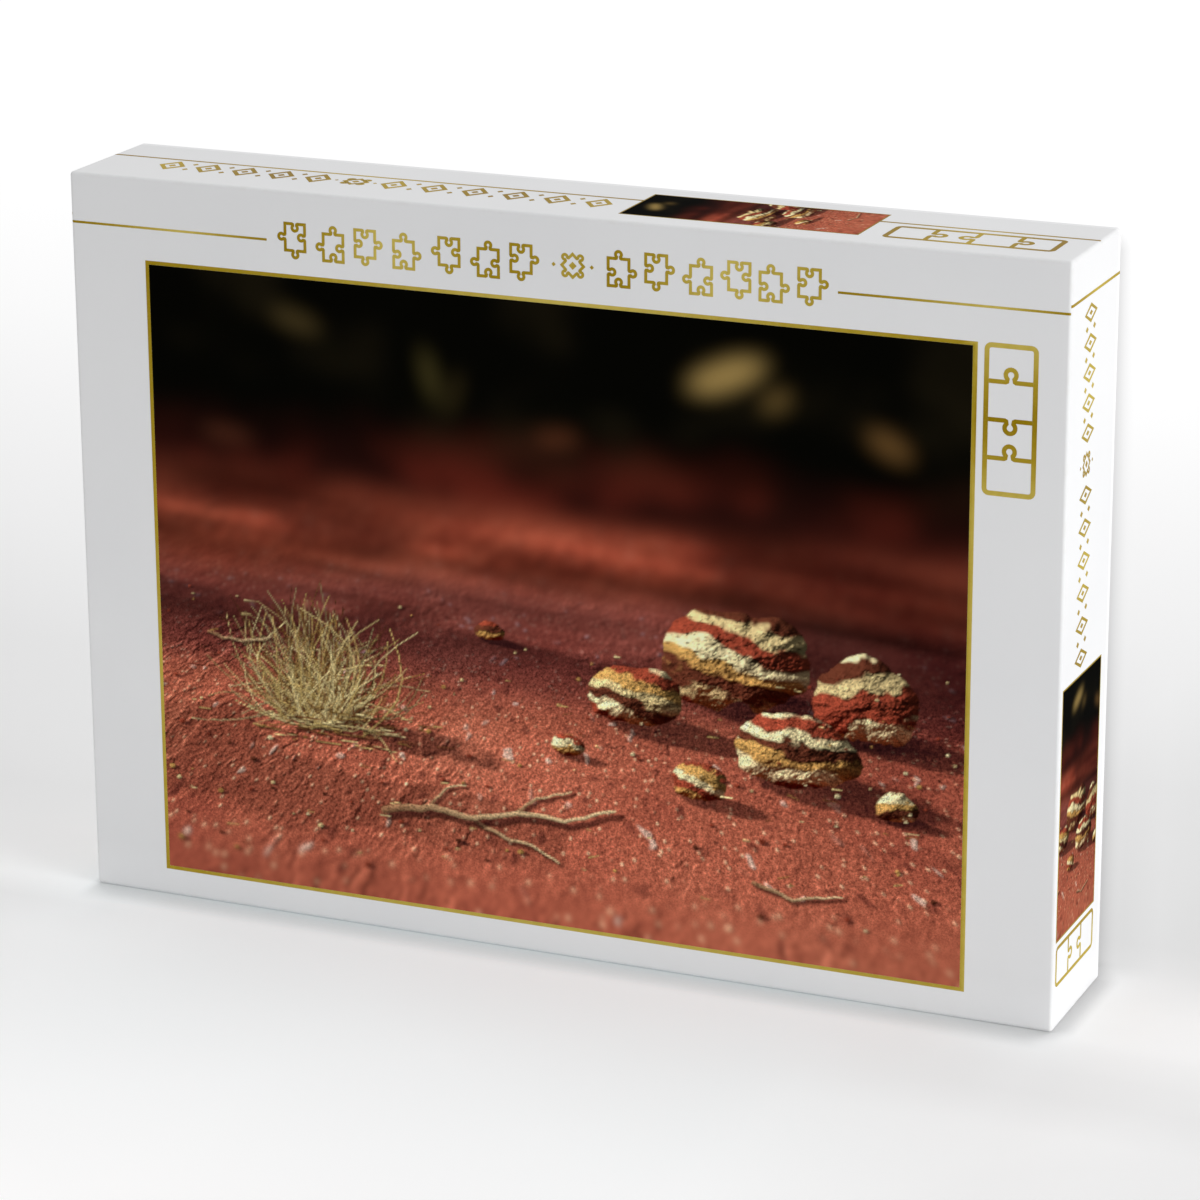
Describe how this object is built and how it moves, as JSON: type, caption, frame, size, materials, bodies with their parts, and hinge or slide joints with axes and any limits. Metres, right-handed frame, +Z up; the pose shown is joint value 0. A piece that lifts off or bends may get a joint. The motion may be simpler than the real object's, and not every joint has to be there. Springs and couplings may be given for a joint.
{
  "type": "jigsaw puzzle box",
  "caption": "Flat white picture carton for a jigsaw puzzle: a lid that telescopes over a tray, standing on its long edge, with gold rules and a framed landscape.",
  "frame": {"origin": "under the middle of the closed box, on the surface that its long edge stands on", "axes": "+Z up the height of the picture, +X along the width to the right as the picture is seen, +Y through the thickness from the picture side to the tray's floor"},
  "size_m": [0.37, 0.055, 0.269],
  "materials": {
    "lid_wrap": "white printed paper wrap with a satin coat over greyboard, gold rules and a framed picture",
    "tray_wrap": "plain white uncoated paper wrap over greyboard"
  },
  "bodies": {
    "tray": {"tray": "tray_wrap"},
    "lid": {"lid": "lid_wrap"}
  },
  "joints": [
    {"name": "lid_lift", "type": "slide", "parent": "tray", "child": "lid", "axis": [0, -1, 0], "range_m": [0, 0.08]}
  ]
}
